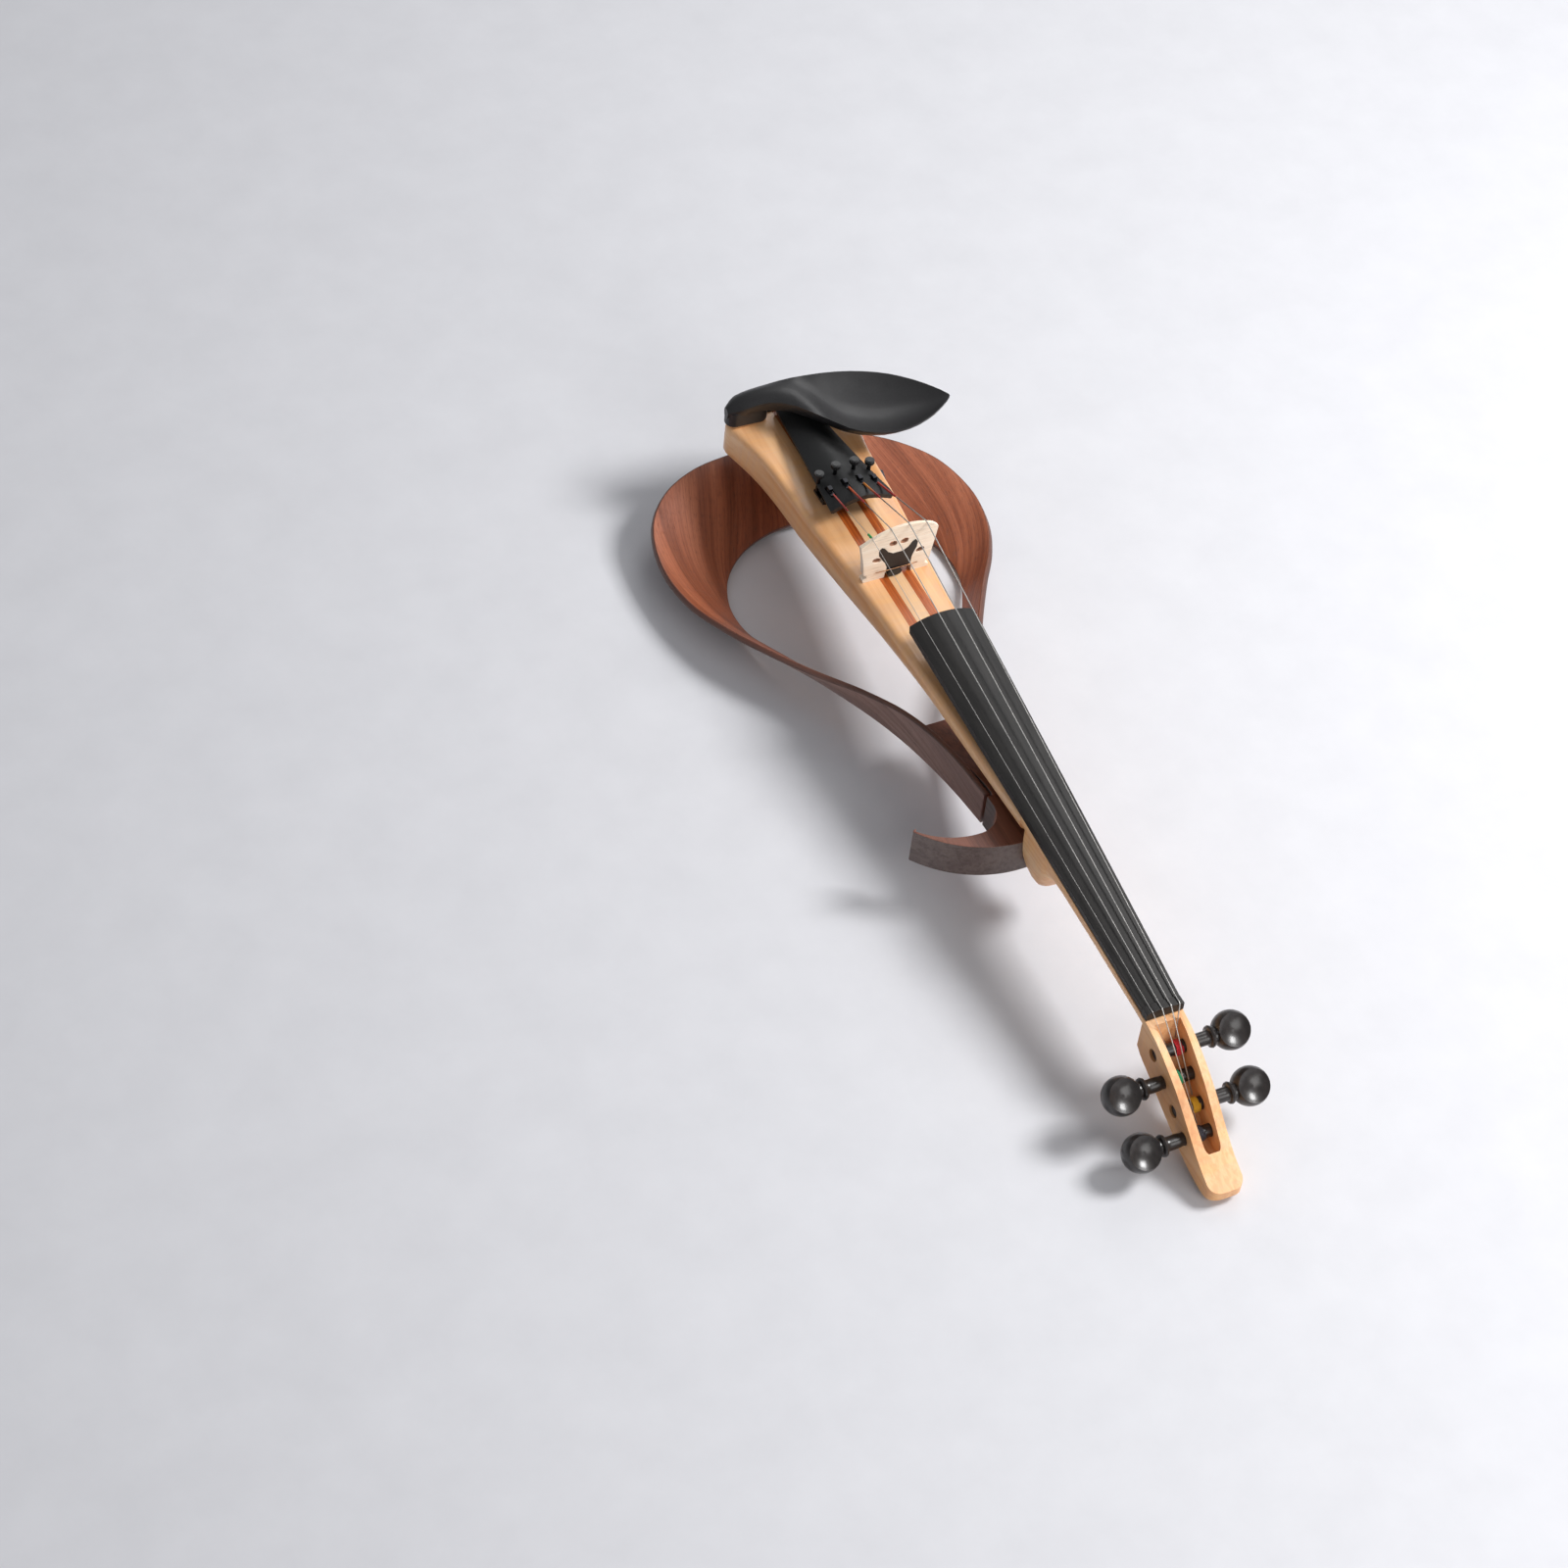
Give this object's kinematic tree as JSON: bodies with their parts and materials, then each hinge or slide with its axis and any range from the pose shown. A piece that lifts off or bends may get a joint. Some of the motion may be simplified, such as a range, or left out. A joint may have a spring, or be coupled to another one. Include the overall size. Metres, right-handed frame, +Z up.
{
  "type": "electric violin",
  "caption": "Bowed string instrument with a slim laminated centre body, an open walnut ribbon for the outline, chinrest, tuning pegs, fine tuners, bridge pickup and volume control.",
  "frame": {"origin": "centre of the bounding box at its lowest plane, which is the underside of the ribbon frame below the player-side bouts", "axes": "+Y from the tail and chinrest to the pegbox, +X to the treble (thin string) side, +Z up through the bridge"},
  "size_m": [0.2071, 0.5814, 0.1075],
  "materials": {
    "maple_side": "pale maple under a clear satin lacquer",
    "mahogany": "red-brown mahogany under a clear satin lacquer",
    "maple_centre": "pale maple under a clear satin lacquer",
    "maple_block": "plain maple, satin",
    "walnut": "oiled red-brown walnut, satin",
    "blackened_steel": "blackened steel",
    "maple_neck": "bare maple with a light oil finish",
    "ebony": "polished near-black ebony",
    "black_nut": "polished ebony",
    "bridge_maple": "raw pale maple",
    "pickup_black": "matt black",
    "grommet_rubber": "black rubber",
    "black_composite": "black, fine satin",
    "tail_cord": "black nylon cord",
    "string_steel": "flat-wound steel",
    "sleeve_green": "green plastic sleeve",
    "peg_ebony": "polished ebony",
    "silk_red": "red silk winding",
    "silk_yellow": "yellow silk winding",
    "silk_dark": "dark silk winding",
    "silk_green": "green silk winding",
    "tuner_black": "black enamel",
    "chinrest_black": "black, satin",
    "cork": "natural cork",
    "nickel": "nickel plated",
    "black_plastic": "black moulded plastic",
    "board_green": "circuit board"
  },
  "bodies": {
    "violin": {"body_treble_side": "maple_side", "body_bass_side": "maple_side", "body_stripe_treble": "mahogany", "body_stripe_bass": "mahogany", "body_centre": "maple_centre", "tail_block": "maple_block", "frame_treble": "walnut", "frame_bass": "walnut", "frame_hook": "walnut", "frame_screws": "blackened_steel", "cover_screws": "blackened_steel", "neck": "maple_neck", "pegbox": "maple_neck", "fingerboard": "ebony", "nut": "black_nut", "bridge": "bridge_maple", "bridge_pickup": "pickup_black", "pickup_lead": "pickup_black", "pickup_grommet": "grommet_rubber", "tailpiece": "black_composite", "tail_saddle": "black_composite", "end_button": "black_composite", "tail_gut": "tail_cord", "string_g": "string_steel", "string_d": "string_steel", "string_a": "string_steel", "string_e": "string_steel", "e_string_sleeve": "sleeve_green", "chinrest": "chinrest_black", "chinrest_corks": "cork", "chinrest_studs": "nickel", "control_cover": "black_plastic", "preamp_board": "board_green", "volume_pot": "nickel", "output_jack": "nickel", "jack_nut": "nickel"},
    "peg_g_body": {"peg_g": "peg_ebony", "winding_g": "silk_red"},
    "peg_d_body": {"peg_d": "peg_ebony", "winding_d": "silk_yellow"},
    "peg_a_body": {"peg_a": "peg_ebony", "winding_a": "silk_dark"},
    "peg_e_body": {"peg_e": "peg_ebony", "winding_e": "silk_green"},
    "tuner_g_screw": {"tuner_screw_g": "blackened_steel"},
    "tuner_g_knob": {"tuner_knob_g": "tuner_black"},
    "tuner_g_lever": {"tuner_lever_g": "blackened_steel"},
    "tuner_d_screw": {"tuner_screw_d": "blackened_steel"},
    "tuner_d_knob": {"tuner_knob_d": "tuner_black"},
    "tuner_d_lever": {"tuner_lever_d": "blackened_steel"},
    "tuner_a_screw": {"tuner_screw_a": "blackened_steel"},
    "tuner_a_knob": {"tuner_knob_a": "tuner_black"},
    "tuner_a_lever": {"tuner_lever_a": "blackened_steel"},
    "tuner_e_screw": {"tuner_screw_e": "blackened_steel"},
    "tuner_e_knob": {"tuner_knob_e": "tuner_black"},
    "tuner_e_lever": {"tuner_lever_e": "blackened_steel"},
    "clamp_foot": {"chinrest_bracket": "nickel"},
    "clamp_turn_inner": {"clamp_barrel_inner": "nickel"},
    "clamp_turn_outer": {"clamp_barrel_outer": "nickel"},
    "volume": {"volume_knob": "black_plastic"}
  },
  "joints": [
    {"name": "peg_g_turn", "type": "hinge", "parent": "violin", "child": "peg_g_body", "pos_m": [0, 0.21565, 0.04154], "axis": [1, 0, 0], "continuous": true},
    {"name": "peg_d_turn", "type": "hinge", "parent": "violin", "child": "peg_d_body", "pos_m": [0, 0.24265, 0.02554], "axis": [1, 0, 0], "continuous": true},
    {"name": "peg_a_turn", "type": "hinge", "parent": "violin", "child": "peg_a_body", "pos_m": [0, 0.25615, 0.01854], "axis": [1, 0, 0], "continuous": true},
    {"name": "peg_e_turn", "type": "hinge", "parent": "violin", "child": "peg_e_body", "pos_m": [0, 0.22865, 0.03404], "axis": [1, 0, 0], "continuous": true},
    {"name": "tuner_g_travel", "type": "slide", "parent": "violin", "child": "tuner_g_screw", "axis": [0, 0, 1], "range_m": [-0.0015, 0.0015]},
    {"name": "tuner_g_turn", "type": "hinge", "parent": "tuner_g_screw", "child": "tuner_g_knob", "pos_m": [-0.0163, -0.20035, 0.08707], "axis": [0, 0, 1], "range_deg": [-1080, 1080]},
    {"name": "tuner_g_tilt", "type": "hinge", "parent": "violin", "child": "tuner_g_lever", "pos_m": [-0.0163, -0.19135, 0.07567], "axis": [1, 0, 0], "range_deg": [-9.56, 9.56]},
    {"name": "tuner_d_travel", "type": "slide", "parent": "violin", "child": "tuner_d_screw", "axis": [0, 0, 1], "range_m": [-0.0015, 0.0015]},
    {"name": "tuner_d_turn", "type": "hinge", "parent": "tuner_d_screw", "child": "tuner_d_knob", "pos_m": [-0.006, -0.20035, 0.09095], "axis": [0, 0, 1], "range_deg": [-1080, 1080]},
    {"name": "tuner_d_tilt", "type": "hinge", "parent": "violin", "child": "tuner_d_lever", "pos_m": [-0.006, -0.19135, 0.07955], "axis": [1, 0, 0], "range_deg": [-9.56, 9.56]},
    {"name": "tuner_a_travel", "type": "slide", "parent": "violin", "child": "tuner_a_screw", "axis": [0, 0, 1], "range_m": [-0.0015, 0.0015]},
    {"name": "tuner_a_turn", "type": "hinge", "parent": "tuner_a_screw", "child": "tuner_a_knob", "pos_m": [0.006, -0.20035, 0.09095], "axis": [0, 0, 1], "range_deg": [-1080, 1080]},
    {"name": "tuner_a_tilt", "type": "hinge", "parent": "violin", "child": "tuner_a_lever", "pos_m": [0.006, -0.19135, 0.07955], "axis": [1, 0, 0], "range_deg": [-9.56, 9.56]},
    {"name": "tuner_e_travel", "type": "slide", "parent": "violin", "child": "tuner_e_screw", "axis": [0, 0, 1], "range_m": [-0.0015, 0.0015]},
    {"name": "tuner_e_turn", "type": "hinge", "parent": "tuner_e_screw", "child": "tuner_e_knob", "pos_m": [0.0163, -0.20035, 0.08707], "axis": [0, 0, 1], "range_deg": [-1080, 1080]},
    {"name": "tuner_e_tilt", "type": "hinge", "parent": "violin", "child": "tuner_e_lever", "pos_m": [0.0163, -0.19135, 0.07567], "axis": [1, 0, 0], "range_deg": [-9.56, 9.56]},
    {"name": "clamp_inner_turn", "type": "hinge", "parent": "violin", "child": "clamp_turn_inner", "pos_m": [0.02, -0.28395, 0.05354], "axis": [0, 0, 1], "range_deg": [-1080, 0]},
    {"name": "clamp_outer_turn", "type": "hinge", "parent": "violin", "child": "clamp_turn_outer", "pos_m": [0.0275, -0.28395, 0.05354], "axis": [0, 0, 1], "range_deg": [-1080, 0]},
    {"name": "clamp_foot_travel", "type": "slide", "parent": "violin", "child": "clamp_foot", "axis": [0, 0, 1], "range_m": [-0.0015, 0]},
    {"name": "volume_turn", "type": "hinge", "parent": "violin", "child": "volume", "pos_m": [0, -0.19335, 0.03354], "axis": [0, 0, 1], "range_deg": [-150, 150]}
  ],
  "couplings": [
    {"joint": "tuner_g_turn", "follows": "tuner_g_travel", "rad_per_m": 12566},
    {"joint": "tuner_g_tilt", "follows": "tuner_g_travel", "rad_per_m": -111.11},
    {"joint": "tuner_d_turn", "follows": "tuner_d_travel", "rad_per_m": 12566},
    {"joint": "tuner_d_tilt", "follows": "tuner_d_travel", "rad_per_m": -111.11},
    {"joint": "tuner_a_turn", "follows": "tuner_a_travel", "rad_per_m": 12566},
    {"joint": "tuner_a_tilt", "follows": "tuner_a_travel", "rad_per_m": -111.11},
    {"joint": "tuner_e_turn", "follows": "tuner_e_travel", "rad_per_m": 12566},
    {"joint": "tuner_e_tilt", "follows": "tuner_e_travel", "rad_per_m": -111.11},
    {"joint": "clamp_inner_turn", "follows": "clamp_foot_travel", "rad_per_m": 12566},
    {"joint": "clamp_outer_turn", "follows": "clamp_foot_travel", "rad_per_m": 12566}
  ]
}
